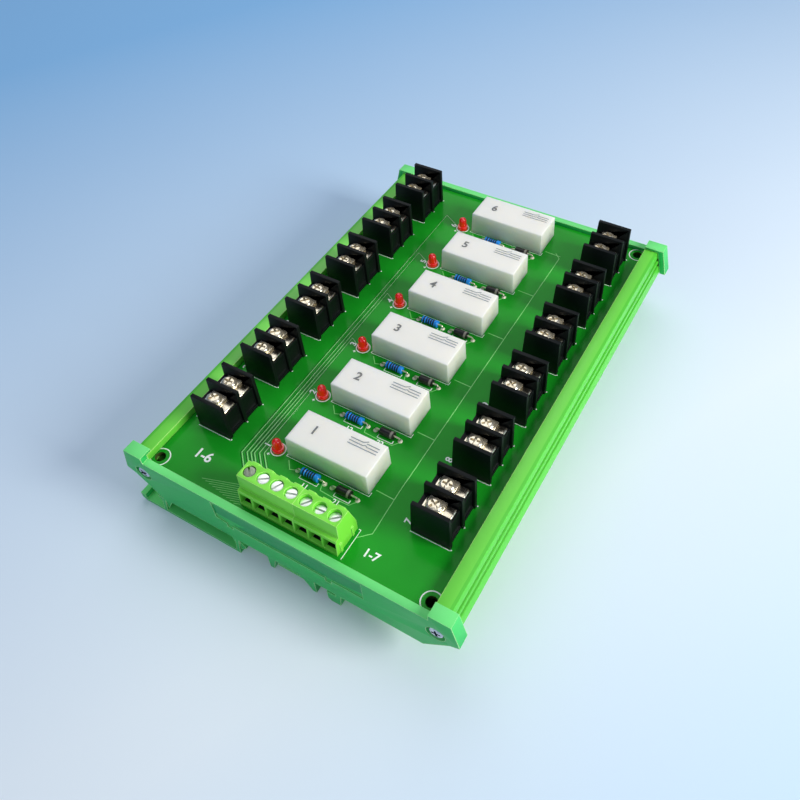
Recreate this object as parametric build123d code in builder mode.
from build123d import *
from math import atan2, degrees
import os

os.makedirs("parts", exist_ok=True)

# Circuit board, held by its long edges in the carrier
board_width = 107.0
board_length = 168.0
board_thickness = 1.6
board_top = 24.0
hole_inset_x = 3.5
hole_inset_y = 2.75
hole_radius = 1.8

# Extruded carrier profile: floor, leaning side walls, board slots and lips
lip_height = 3.0
lip_overlap = 1.5
lip_width = 5.0
slot_play = 0.15
side_lean = 2.4
side_depth = 9.2
haunch_run = 10.4
floor_drop = 15.4
floor_thickness = 1.6
wall_thickness = 1.9
ledge_width = 1.8
ledge_thickness = 1.5
profile_play = 0.25
groove_width = 1.3
groove_depth = 0.9
groove_drops = (3.0, 5.4)
screw_channel_inset = 3.3
screw_channel_drop = 5.2
screw_channel_wall = 0.9

# Moulded end plates with a cap over each rail end and feet for the rail
plate_thickness = 2.6
plate_rise = 1.5
plate_margin = 1.6
cap_overlap = 2.0
cap_margin = 2.4
cap_rise = 1.2
cap_play = 0.2
panel_left = -24.4
panel_right = 30.2
panel_top_drop = 0.5
panel_height = 9.8
panel_depth = 0.5
panel_slant_run = 5.0
panel_slant_rise = 0.9
dent_centers = (-19.3, 17.8)
dent_width = 2.2
dent_height = 1.8

# Feet under each end plate, shaped for a 35 mm top hat rail
rail_width = 35.0
rail_plane = 7.0
rail_grip_gap = 1.3
hook_reach = 1.6
hook_tip = 1.1
hook_foot_inset = 0.5
foot_depth = 10.0
foot_skin = 1.3
foot_proud = 0.9
lever_inset = 1.2
lever_upturn = 3.8
lever_upturn_width = 2.0
rib_width = 1.4
rib_inset = 10.0
rib_flare_left = 1.7
rib_flare_right = 3.0
tongue_center = -4.9
tongue_width = 3.2
tongue_length = 6.5
lip_left = -2.5
lip_drop = 1.9
lip_slot = 0.7
lip_skin = 0.8
leg_left = 6.4
leg_width = 5.0
leg_lean = 3.6
leg_tip_width = 1.4
latch_width = 3.0
latch_flare = 0.8
latch_foot = 0.4
latch_play = 1.7

# Self tapping screws that hold the end plates
end_screw_radius = 1.45
end_screw_length = 9.0
end_screw_head_radius = 2.8
end_screw_head_height = 1.4
counterbore_play = 0.3

# Rows of components, one row for each relay, from the front edge of the board
row_pitch = 25.0
first_row_inset = 29.6
last_row_margin = 13.0

# Relays
relay_length = 30.5
relay_width = 13.2
relay_height = 9.25
relay_draft = 1.4
relay_x = 1.2
relay_edge = 0.4
relay_pin_pitch_x = 12.7
relay_pin_pitch_y = 7.62
relay_pin = 0.6

# Through hole leads
lead_below = 1.9
lead_play = 0.15

# Indicator lamps
led_x = -18.2
led_dy = -6.3
led_radius = 1.5
led_rim_radius = 2.0
led_rim_height = 1.4
led_height = 5.3
led_lead_pitch = 2.54
led_lead = 0.5

# Axial resistors and diodes in front of each relay
axial_dy = -9.85
lead_radius = 0.3
bend_radius = 0.8
resistor_x = -2.85
resistor_pitch = 10.2
resistor_length = 6.3
resistor_radius = 1.15
resistor_end_radius = 1.3
resistor_end_length = 1.4
diode_x = 9.85
diode_pitch = 9.3
diode_length = 5.2
diode_radius = 1.35

# Two pole barrier terminals along both long edges of the board
terminal_left_inset = 12.6
terminal_right_inset = 13.2
terminal_dy = -2.3
pole_pitch = 7.62
barrier_thickness = 1.3
barrier_base_width = 13.4
barrier_lean_left = 87.3
barrier_lean_right = 89.2
barrier_height = 15.1
terminal_body_height = 9.6
terminal_body_inset_left = 0.5
terminal_body_inset_right = 1.1
foot_bead = 0.5
foot_bead_height = 1.2
face_panel_inset = 0.7
face_panel_depth = 0.2

# Contact strip, clamp plate and screw of each pole
contact_width = 5.2
contact_thickness = 0.8
contact_end_inset = 0.5
contact_run = 9.6
contact_pin_width = 1.2
clamp_size = 5.8
clamp_thickness = 0.8
pole_screw_dx = -0.9
pole_screw_radius = 1.5
pole_screw_head_radius = 2.6
pole_screw_head_height = 1.5
pole_screw_head_bevel = 0.7
pole_screw_length = 6.0
bore_play = 0.15

# Seven pole screw terminal block at the front edge
block_left = -15.9
block_pole_pitch = 5.08
block_module_poles = (4, 3)
block_setback = 1.4
block_base_depth = 10.6
block_height = 13.4
block_step_height = 7.3
block_toe = 0.6
block_step = 1.5
block_step_rise = 0.8
block_top_depth = 6.0
block_shoulder_height = 4.5
block_rib_width = 2.4
block_rib_rise = 0.45
entry_width = 3.9
entry_height = 4.6
entry_sill = 1.2
entry_funnel = 0.35
entry_funnel_depth = 1.2
clamp_cage_depth = 5.0
cage_wall = 0.6
cage_play = 0.1
block_screw_radius = 1.9
block_screw_height = 2.4
block_well_play = 0.15
block_screw_sink = (0.3, 0.4, 0.4, 0.6, 1.4, 1.4, 1.5)
block_pin = 0.9
dovetail_width = 0.9
dovetail_depth = 0.35

# Levels and half widths that follow from the sizes above
board_bottom = board_top - board_thickness
pin_end = board_bottom - lead_below
profile_length = board_length + 2 * profile_play
end_face = profile_length / 2
slot_half = board_width / 2 + slot_play
lip_inner = board_width / 2 - lip_overlap
lip_top = board_top + lip_height
lip_outer = lip_inner + lip_width
side_low = lip_top - side_depth
side_outer = lip_outer + side_lean
floor_bottom = board_top - floor_drop
floor_top = floor_bottom + floor_thickness
floor_half = side_outer - haunch_run
channel_x = side_outer - wall_thickness - screw_channel_inset
channel_z = board_top - screw_channel_drop
first_row = first_row_inset - board_length / 2
row_count = 1 + int((board_length - first_row_inset - last_row_margin) // row_pitch)
row_centers = [first_row + row * row_pitch for row in range(row_count)]
terminal_left_x = terminal_left_inset - board_width / 2
terminal_right_x = board_width / 2 - terminal_right_inset
block_front = block_setback - board_length / 2
board_plane = Plane.XY.offset(board_top)


def upright_plane(x, y, z):
    """Plane through a point that faces the front edge of the board."""
    return Plane((x, y, z), x_dir=(1, 0, 0), z_dir=(0, -1, 0))


def side_slope(height):
    """Half width of the profile's leaning side wall at a height."""
    return lip_outer + side_lean * (lip_top - height) / side_depth


# Lead positions, shared by the board and the components
relay_leads = [
    (relay_x + column * relay_pin_pitch_x, center + side * relay_pin_pitch_y / 2)
    for center in row_centers
    for column in (-1, 0, 1)
    for side in (-1, 1)
]
led_leads = [
    (led_x, center + led_dy + side * led_lead_pitch / 2)
    for center in row_centers
    for side in (-1, 1)
]
axial_leads = [
    (x + side * pitch / 2, center + axial_dy)
    for center in row_centers
    for x, pitch in ((resistor_x, resistor_pitch), (diode_x, diode_pitch))
    for side in (-1, 1)
]
pole_offsets = (-pole_pitch / 2, pole_pitch / 2)
contact_pin_dx = (
    barrier_base_width / 2 - terminal_body_inset_right - contact_end_inset - contact_thickness / 2
)
terminal_pins = [
    (x + contact_pin_dx, center + terminal_dy + offset)
    for center in row_centers
    for x in (terminal_left_x, terminal_right_x)
    for offset in pole_offsets
]
block_poles = [
    block_left + (pole + 0.5) * block_pole_pitch for pole in range(sum(block_module_poles))
]
block_axis = block_front + block_toe + block_step + block_top_depth / 2
block_pins = [(x, block_axis) for x in block_poles]
board_leads = (
    (relay_pin, relay_pin, relay_leads),
    (led_lead, led_lead, led_leads),
    (2 * lead_radius, 2 * lead_radius, axial_leads),
    (contact_thickness, contact_pin_width, terminal_pins),
    (block_pin, block_pin, block_pins),
)

# Carrier profile: one extrusion, open at the top, with a slot for each board edge
with BuildPart() as carrier_profile:
    with BuildSketch(Plane.XZ.offset(-end_face)):
        with BuildLine():
            outside = Polyline(
                (0, floor_bottom),
                (floor_half, floor_bottom),
                (side_outer, side_low),
                (lip_outer, lip_top),
                (0, lip_top),
            )
            mirror(outside, about=Plane.YZ)
        make_face()
        with BuildLine():
            inside = Polyline(
                (0, floor_top),
                (floor_half - wall_thickness / 2, floor_top),
                (side_outer - wall_thickness, side_low),
                (side_outer - wall_thickness, board_bottom - slot_play - ledge_thickness),
                (slot_half - ledge_width, board_bottom - slot_play - ledge_thickness),
                (slot_half - ledge_width, board_bottom - slot_play),
                (slot_half, board_bottom - slot_play),
                (slot_half, board_top + slot_play),
                (lip_inner, board_top + slot_play),
                (lip_inner, lip_top),
                (0, lip_top),
            )
            mirror(inside, about=Plane.YZ)
        make_face(mode=Mode.SUBTRACT)
        with Locations((-channel_x, channel_z), (channel_x, channel_z)):
            Circle(end_screw_radius + screw_channel_wall)
            Circle(end_screw_radius, mode=Mode.SUBTRACT)
        for drop in groove_drops:
            groove_x = side_slope(lip_top - drop)
            with Locations((-groove_x, lip_top - drop), (groove_x, lip_top - drop)):
                Rectangle(2 * groove_depth, groove_width, mode=Mode.SUBTRACT)
    extrude(amount=profile_length)
carrier_profile.part.label = "carrier_profile"
export_step(carrier_profile.part, "parts/carrier_profile.step")

# Front end plate: flat plate, caps over the rail ends, recessed panel and rail feet
plate_top = board_top + plate_rise
cap_top = lip_top + cap_rise
cap_outer = side_outer + cap_margin
cap_low = side_low - cap_play
outer_face = end_face + plate_thickness
rail_left = -rail_width / 2
rail_right = rail_width / 2
grip_level = rail_plane - rail_grip_gap
lever_end = lever_inset - cap_outer
rib_left = lever_end + rib_inset
rib_right = rib_left + rib_width
panel_top = plate_top - panel_top_drop
panel_bottom = panel_top - panel_height
with BuildPart() as end_plate_front:
    with BuildSketch(Plane.XZ.offset(end_face)):
        with BuildLine():
            plate_edge = Polyline(
                (0, rail_plane),
                (floor_half + plate_margin / 2, rail_plane),
                (side_outer - plate_margin / 2, cap_low - plate_margin),
                (cap_outer, cap_low),
                (cap_outer - side_lean - cap_play, cap_top),
                (lip_inner, cap_top),
                (lip_inner, plate_top),
                (0, plate_top),
            )
            mirror(plate_edge, about=Plane.YZ)
        make_face()
    extrude(amount=plate_thickness)
    with BuildSketch(Plane.XZ.offset(end_face - cap_overlap)):
        with BuildLine():
            Polyline(
                (cap_outer, cap_low),
                (cap_outer - side_lean - cap_play, cap_top),
                (lip_inner, cap_top),
                (lip_inner, lip_top + cap_play),
                (lip_outer + cap_play, lip_top + cap_play),
                (side_outer + cap_play, cap_low),
                close=True,
            )
        make_face()
        mirror(about=Plane.YZ)
    extrude(amount=cap_overlap)
    # Shallow panel with two dents under it on the outer face, and counterbored screw holes
    with BuildSketch(Plane.XZ.offset(outer_face)):
        with BuildLine():
            Polyline(
                (panel_left, panel_top),
                (panel_left, panel_bottom + panel_slant_rise),
                (panel_left + panel_slant_run, panel_bottom),
                (panel_right, panel_bottom),
                (panel_right, panel_top),
                close=True,
            )
        make_face()
        with Locations(*[(x, panel_bottom) for x in dent_centers]):
            Rectangle(dent_width, 2 * dent_height)
    extrude(amount=-panel_depth, mode=Mode.SUBTRACT)
    with Locations(Plane.XZ.offset(outer_face)):
        with Locations((-channel_x, channel_z), (channel_x, channel_z)):
            CounterBoreHole(
                end_screw_radius + cap_play,
                end_screw_head_radius + counterbore_play,
                end_screw_head_height,
                plate_thickness,
            )
    # Feet: lever with the fixed hook, proud of the plate, and the rib that carries it
    with BuildSketch(Plane.XZ.offset(outer_face + foot_proud)):
        with BuildLine():
            Polyline(
                (lever_end, lever_upturn),
                (lever_end, foot_skin),
                (lever_end + foot_skin, 0),
                (rail_left - hook_foot_inset, 0),
                (rail_left - hook_foot_inset, foot_skin),
                (lever_end + lever_upturn_width, foot_skin),
                (lever_end + lever_upturn_width, lever_upturn),
                close=True,
            )
        make_face()
    extrude(amount=-foot_depth - foot_proud)
    with BuildSketch(Plane.XZ.offset(outer_face)):
        with BuildLine():
            Polyline(
                (rail_left - hook_foot_inset - hook_reach, foot_skin),
                (rail_left - hook_foot_inset, foot_skin),
                (rail_left + hook_reach, grip_level - hook_reach - hook_tip),
                (rail_left + hook_reach, grip_level - hook_reach),
                (rail_left, grip_level),
                (rail_left, rail_plane),
                (rail_left - 2 * hook_reach, rail_plane),
                close=True,
            )
        make_face()
        with BuildLine():
            Polyline(
                (rib_left, foot_skin),
                (rib_right, foot_skin),
                (rib_right + rib_flare_right, rail_plane),
                (rib_left - rib_flare_left, rail_plane),
                close=True,
            )
        make_face()
        # Tongue, leg and spring latch, and the slotted lip between tongue and leg
        with BuildLine():
            Polyline(
                (tongue_center - tongue_width / 2, rail_plane),
                (tongue_center + tongue_width / 2, rail_plane),
                (tongue_center, rail_plane - tongue_length),
                (tongue_center - tongue_width / 2, rail_plane - tongue_length),
                close=True,
            )
        make_face()
        with BuildLine():
            Polyline(
                (lip_left, rail_plane),
                (lip_left, rail_plane - lip_drop),
                (leg_left + lip_skin, rail_plane - lip_drop),
                (leg_left + leg_lean, 0),
                (leg_left + leg_lean + leg_tip_width, 0),
                (leg_left + leg_width, rail_plane),
                close=True,
            )
        make_face()
        with Locations(((lip_left + leg_left) / 2, rail_plane - lip_drop + lip_skin + lip_slot / 2)):
            SlotOverall(leg_left - lip_left - lip_skin, lip_slot, mode=Mode.SUBTRACT)
        with BuildLine():
            Polyline(
                (rail_right + latch_play, rail_plane),
                (rail_right + latch_play, grip_level),
                (rail_right - hook_reach, grip_level),
                (rail_right - hook_reach, latch_foot + hook_tip),
                (rail_right - hook_reach + hook_tip, latch_foot),
                (rail_right + latch_width, latch_foot),
                (rail_right + latch_width + latch_flare, rail_plane),
                close=True,
            )
        make_face()
    extrude(amount=-foot_depth)
    # Gussets that run forward from the plate to the edge of the lever
    for gusset_left in (rib_left, rail_left - hook_foot_inset - rib_width):
        with BuildSketch(Plane.YZ.offset(gusset_left)):
            with BuildLine():
                Polyline(
                    (-outer_face, foot_skin),
                    (-outer_face - foot_proud, foot_skin),
                    (-outer_face, rail_plane),
                    close=True,
                )
            make_face()
        extrude(amount=rib_width)
end_plate_front.part.label = "end_plate_front"
export_step(end_plate_front.part, "parts/end_plate_front.step")

# Rear end plate, the mirror image of the front one
with BuildPart() as end_plate_rear:
    mirror(end_plate_front.part, about=Plane.XZ)
end_plate_rear.part.label = "end_plate_rear"
export_step(end_plate_rear.part, "parts/end_plate_rear.step")

# Two screws in each end plate, into the profile's screw channels
with BuildPart() as end_screws_front:
    with BuildSketch(Plane.XZ.offset(outer_face)):
        with Locations((-channel_x, channel_z), (channel_x, channel_z)):
            Circle(end_screw_head_radius)
    extrude(amount=-end_screw_head_height)
    with BuildSketch(Plane.XZ.offset(outer_face - end_screw_head_height)):
        with Locations((-channel_x, channel_z), (channel_x, channel_z)):
            Circle(end_screw_radius)
    extrude(amount=-end_screw_length)
end_screws_front.part.label = "end_screws_front"
export_step(end_screws_front.part, "parts/end_screws_front.step")

with BuildPart() as end_screws_rear:
    mirror(end_screws_front.part, about=Plane.XZ)
end_screws_rear.part.label = "end_screws_rear"
export_step(end_screws_rear.part, "parts/end_screws_rear.step")

# Circuit board with its corner holes and a hole for every lead
with BuildPart() as circuit_board:
    with BuildSketch(board_plane):
        Rectangle(board_width, board_length)
        with GridLocations(board_width - 2 * hole_inset_x, board_length - 2 * hole_inset_y, 2, 2):
            Circle(hole_radius, mode=Mode.SUBTRACT)
        for width, height, centers in board_leads:
            with Locations(*centers):
                Rectangle(width + 2 * lead_play, height + 2 * lead_play, mode=Mode.SUBTRACT)
    extrude(amount=-board_thickness)
circuit_board.part.label = "circuit_board"
export_step(circuit_board.part, "parts/circuit_board.step")

# Relays: drafted cases with rounded top edges and six pins
for row, center in enumerate(row_centers, start=1):
    with BuildPart() as relay:
        with BuildSketch(board_plane):
            with Locations((relay_x, center)):
                Rectangle(relay_length, relay_width)
        extrude(amount=relay_height, taper=relay_draft)
        fillet(relay.faces().sort_by(Axis.Z)[-1].edges(), relay_edge)
        with BuildSketch(board_plane):
            with Locations((relay_x, center)):
                with GridLocations(relay_pin_pitch_x, relay_pin_pitch_y, 3, 2):
                    Rectangle(relay_pin, relay_pin)
        extrude(amount=pin_end - board_top)
    relay.part.label = f"relay_{row}"
    export_step(relay.part, f"parts/relay_{row}.step")

# Indicator lamps: rim, round body and domed top on two leads
for row, center in enumerate(row_centers, start=1):
    with BuildPart() as led:
        with BuildSketch(upright_plane(led_x, center + led_dy, board_top)):
            with BuildLine():
                Polyline(
                    (0, led_height),
                    (0, 0),
                    (led_rim_radius, 0),
                    (led_rim_radius, led_rim_height),
                    (led_radius, led_rim_height),
                    (led_radius, led_height - led_radius),
                )
                CenterArc((0, led_height - led_radius), led_radius, 0, 90)
            make_face()
        revolve(axis=Axis((led_x, center + led_dy, board_top), (0, 0, 1)))
        with BuildSketch(board_plane):
            with Locations((led_x, center + led_dy)):
                with GridLocations(led_lead_pitch, led_lead_pitch, 1, 2):
                    Rectangle(led_lead, led_lead)
        extrude(amount=pin_end - board_top)
    led.part.label = f"led_{row}"
    export_step(led.part, f"parts/led_{row}.step")


def axial_component(x, y, pitch, outline):
    """Round body on a wire that bends down into the board at both ends."""
    axis_level = board_top + max(radius for _, radius in outline)
    bend_level = axis_level - bend_radius
    straight = pitch / 2 - bend_radius
    with BuildPart() as component:
        for end in (-1, 1):
            with BuildSketch(Plane.XY.offset(bend_level)):
                with Locations((x + end * pitch / 2, y)):
                    Circle(lead_radius)
            extrude(amount=pin_end - bend_level)
            with BuildSketch(Plane.XY.offset(bend_level)):
                with Locations((x + end * pitch / 2, y)):
                    Circle(lead_radius)
            revolve(axis=Axis((x + end * straight, y, bend_level), (0, -end, 0)), revolution_arc=90)
        with BuildSketch(Plane.YZ.offset(x - straight)):
            with Locations((y, axis_level)):
                Circle(lead_radius)
        extrude(amount=2 * straight)
        with BuildSketch(upright_plane(x, y, axis_level)):
            with BuildLine():
                edge = Polyline(*outline)
                Polyline(edge @ 1, (outline[-1][0], 0), (outline[0][0], 0), edge @ 0)
            make_face()
        revolve(axis=Axis((x, y, axis_level), (1, 0, 0)))
    return component.part


# Resistors: thicker at both ends; diodes: plain cylinders
waist = resistor_length / 2 - resistor_end_length
resistor_outline = [
    (-resistor_length / 2, resistor_end_radius),
    (-waist, resistor_end_radius),
    (-waist + resistor_end_radius - resistor_radius, resistor_radius),
    (waist - resistor_end_radius + resistor_radius, resistor_radius),
    (waist, resistor_end_radius),
    (resistor_length / 2, resistor_end_radius),
]
diode_outline = [(-diode_length / 2, diode_radius), (diode_length / 2, diode_radius)]
for row, center in enumerate(row_centers, start=1):
    resistor = axial_component(resistor_x, center + axial_dy, resistor_pitch, resistor_outline)
    resistor.label = f"resistor_{row}"
    export_step(resistor, f"parts/resistor_{row}.step")
    diode = axial_component(diode_x, center + axial_dy, diode_pitch, diode_outline)
    diode.label = f"diode_{row}"
    export_step(diode, f"parts/diode_{row}.step")

# Levels of the barrier terminals
terminal_top = board_top + terminal_body_height
contact_top = terminal_top + contact_thickness
clamp_top = contact_top + clamp_thickness
body_left = -barrier_base_width / 2 + terminal_body_inset_left
body_right = barrier_base_width / 2 - terminal_body_inset_right
contact_end = body_right - contact_end_inset
body_width = body_right - body_left
terminal_depth = 2 * pole_pitch + barrier_thickness
face_panel_width = pole_pitch - barrier_thickness - 2 * face_panel_inset
face_panel_height = terminal_body_height - foot_bead_height - 2 * face_panel_inset
face_panel_level = terminal_top - face_panel_inset - face_panel_height / 2


def terminal_housing(x, y):
    """Two open poles between three barriers on one body."""
    with BuildPart() as housing:
        for barrier in (-1, 0, 1):
            back = y + barrier * pole_pitch + barrier_thickness / 2
            with BuildSketch(Plane.XZ.offset(-back)):
                with Locations((x, board_top)):
                    Trapezoid(
                        barrier_base_width,
                        barrier_height,
                        barrier_lean_left,
                        barrier_lean_right,
                        align=(Align.CENTER, Align.MIN),
                    )
            extrude(amount=barrier_thickness)
        with BuildSketch(board_plane):
            with Locations((x + (body_left + body_right) / 2, y)):
                Rectangle(body_width, terminal_depth)
        extrude(amount=terminal_body_height)
        with BuildSketch(board_plane):
            with Locations((x + body_right, y)):
                Rectangle(2 * foot_bead, 2 * pole_pitch)
        extrude(amount=foot_bead_height)
        # Shallow panel on the face of each pole that looks over the board
        with BuildSketch(Plane.YZ.offset(x + body_right)):
            with Locations(*[(y + offset, face_panel_level) for offset in pole_offsets]):
                Rectangle(face_panel_width, face_panel_height)
        extrude(amount=-face_panel_depth, mode=Mode.SUBTRACT)
        with BuildSketch(Plane.XY.offset(terminal_top)):
            with Locations(*[(x + contact_pin_dx, y + offset) for offset in pole_offsets]):
                Rectangle(contact_thickness + bore_play, contact_pin_width + bore_play)
        extrude(amount=-terminal_body_height, mode=Mode.SUBTRACT)
        with Locations(*[(x + pole_screw_dx, y + offset, terminal_top) for offset in pole_offsets]):
            Hole(pole_screw_radius + bore_play, pole_screw_length)
    return housing.part


def terminal_screws(x, y):
    """Pan head screws that each carry a square clamp plate."""
    centers = [(x + pole_screw_dx, y + offset) for offset in pole_offsets]
    with BuildPart() as screws:
        with BuildSketch(Plane.XY.offset(contact_top)):
            with Locations(*centers):
                Rectangle(clamp_size, clamp_size)
        extrude(amount=clamp_thickness)
        with BuildSketch(Plane.XY.offset(clamp_top)):
            with Locations(*centers):
                Circle(pole_screw_head_radius)
        extrude(amount=pole_screw_head_height)
        chamfer(screws.faces().sort_by(Axis.Z)[-2:].edges(), pole_screw_head_bevel)
        with BuildSketch(Plane.XY.offset(contact_top)):
            with Locations(*centers):
                Circle(pole_screw_radius)
        extrude(amount=-pole_screw_length)
    return screws.part


def terminal_contacts(x):
    """Bent contact strips of one side, each with its pin through the body."""
    poles = [
        (x, center + terminal_dy + offset) for center in row_centers for offset in pole_offsets
    ]
    with BuildPart() as contacts:
        with BuildSketch(Plane.XY.offset(terminal_top)):
            with Locations(*[(x + contact_end - contact_run / 2, y) for x, y in poles]):
                Rectangle(contact_run, contact_width)
            with Locations(*[(x + pole_screw_dx, y) for x, y in poles]):
                Circle(pole_screw_radius + bore_play, mode=Mode.SUBTRACT)
        extrude(amount=contact_thickness)
        outer_edges = contacts.edges().filter_by(Axis.Y).group_by(Axis.Z)[-1].group_by(Axis.X)[-1]
        fillet(outer_edges, contact_thickness * 0.75)
        with BuildSketch(Plane.XY.offset(terminal_top)):
            with Locations(*[(x + contact_pin_dx, y) for x, y in poles]):
                Rectangle(contact_thickness, contact_pin_width)
        extrude(amount=pin_end - terminal_top)
    return contacts.part


# Barrier terminals of both sides
for side, side_x in (("left", terminal_left_x), ("right", terminal_right_x)):
    for row, center in enumerate(row_centers, start=1):
        housing = terminal_housing(side_x, center + terminal_dy)
        housing.label = f"terminal_{side}_{row}"
        export_step(housing, f"parts/terminal_{side}_{row}.step")
        screws = terminal_screws(side_x, center + terminal_dy)
        screws.label = f"terminal_screws_{side}_{row}"
        export_step(screws, f"parts/terminal_screws_{side}_{row}.step")
    contacts = terminal_contacts(side_x)
    contacts.label = f"terminal_contacts_{side}"
    export_step(contacts, f"parts/terminal_contacts_{side}.step")

# Levels of the seven pole block, from its outer section
block_top = board_top + block_height
block_face = block_front + block_toe
block_crown = block_face + block_step
block_crest = block_crown + block_top_depth
block_back = block_front + block_base_depth
entry_floor = board_top + entry_sill
entry_top = entry_floor + entry_height
entry_center = (entry_floor + entry_top) / 2
funnel_angle = degrees(atan2(entry_funnel, entry_funnel_depth))
cage_back = block_axis + clamp_cage_depth / 2
cavity_depth = cage_back + cage_play - block_front
screw_bore = block_screw_radius - cage_wall
screw_end = entry_top - 2 * cage_wall


def block_module(left, poles):
    """Housing of a few poles: sloped section, wire entries, screw wells and back ribs."""
    width = poles * block_pole_pitch
    centers = [left + (pole + 0.5) * block_pole_pitch for pole in range(poles)]
    with BuildPart() as module:
        with BuildSketch(Plane.YZ.offset(left)):
            with BuildLine():
                Polyline(
                    (block_front, board_top),
                    (block_face, board_top + block_step_height),
                    (block_crown, board_top + block_step_height + block_step_rise),
                    (block_crown, block_top),
                    (block_crest, block_top),
                    (block_back, board_top + block_shoulder_height),
                    (block_back, board_top),
                    close=True,
                )
            make_face()
        extrude(amount=width)
        for x in centers:
            with BuildSketch(Plane.YZ.offset(x - block_rib_width / 2)):
                with BuildLine():
                    Polyline(
                        (block_crest, block_top),
                        (block_crest + block_rib_rise, block_top),
                        (block_back + block_rib_rise, board_top + block_shoulder_height),
                        (block_back, board_top + block_shoulder_height),
                        close=True,
                    )
                make_face()
            extrude(amount=block_rib_width)
        # Joining ribs on the right end fit grooves in the left end of the next module
        for rib_y in (block_crown, block_crest):
            for end, grow, mode in ((left, cage_play, Mode.SUBTRACT), (left + width, 0, Mode.ADD)):
                with BuildSketch(board_plane):
                    with Locations((end, rib_y)):
                        Rectangle(2 * (dovetail_depth + grow), dovetail_width + 2 * grow)
                extrude(amount=block_shoulder_height, mode=mode)
        # Wire entries with a flared mouth, each with the hole for its pin
        entries = [(x, entry_center) for x in centers]
        with BuildSketch(Plane.XZ.offset(-block_front)):
            with Locations(*entries):
                Rectangle(entry_width, entry_height)
        extrude(amount=-cavity_depth, mode=Mode.SUBTRACT)
        with BuildSketch(Plane.XZ.offset(-block_front)):
            with Locations(*entries):
                Rectangle(entry_width + 2 * entry_funnel, entry_height + 2 * entry_funnel)
        extrude(amount=-entry_funnel_depth, taper=funnel_angle, mode=Mode.SUBTRACT)
        with BuildSketch(Plane.XY.offset(entry_floor)):
            with Locations(*[(x, block_axis) for x in centers]):
                Rectangle(block_pin + cage_play, block_pin + cage_play)
        extrude(amount=-entry_sill, mode=Mode.SUBTRACT)
    return module.part


# Two joined modules make the seven pole block
first_pole = 0
for poles in block_module_poles:
    module = block_module(block_left + first_pole * block_pole_pitch, poles)
    centers = block_poles[first_pole : first_pole + poles]
    sinks = block_screw_sink[first_pole : first_pole + poles]
    with BuildPart() as block:
        add(module)
        for x, sink in zip(centers, sinks):
            with Locations((x, block_axis, block_top)):
                CounterBoreHole(
                    screw_bore + block_well_play,
                    block_screw_radius + block_well_play,
                    sink + block_screw_height,
                    block_top - entry_top,
                )
    block.part.label = f"terminal_block_{poles}_pole"
    export_step(block.part, f"parts/terminal_block_{poles}_pole.step")
    first_pole += poles

# Slotted screws of the block, the used ones run down further than the others
with BuildPart() as block_screws:
    for x, sink in zip(block_poles, block_screw_sink):
        with BuildSketch(Plane.XY.offset(block_top - sink)):
            with Locations((x, block_axis)):
                Circle(block_screw_radius)
        extrude(amount=-block_screw_height)
        with BuildSketch(Plane.XY.offset(block_top - sink - block_screw_height)):
            with Locations((x, block_axis)):
                Circle(screw_bore)
        extrude(amount=screw_end - (block_top - sink - block_screw_height))
block_screws.part.label = "terminal_block_screws"
export_step(block_screws.part, "parts/terminal_block_screws.step")

# Clamp cages in the block with their pins down through the board
cage_width = entry_width - 2 * cage_play
cage_height = entry_height - cage_play
cage_top = entry_floor + cage_height
with BuildPart() as block_clamps:
    with BuildSketch(Plane.XZ.offset(-cage_back)):
        with Locations(*[(x, cage_top - cage_height / 2) for x in block_poles]):
            Rectangle(cage_width, cage_height)
            Rectangle(cage_width - 2 * cage_wall, cage_height - 2 * cage_wall, mode=Mode.SUBTRACT)
    extrude(amount=clamp_cage_depth)
    for x in block_poles:
        with Locations((x, block_axis, cage_top)):
            Hole(screw_bore + cage_play, 2 * cage_wall)
    with BuildSketch(Plane.XY.offset(entry_floor)):
        with Locations(*block_pins):
            Rectangle(block_pin, block_pin)
    extrude(amount=pin_end - entry_floor)
block_clamps.part.label = "terminal_block_clamps"
export_step(block_clamps.part, "parts/terminal_block_clamps.step")
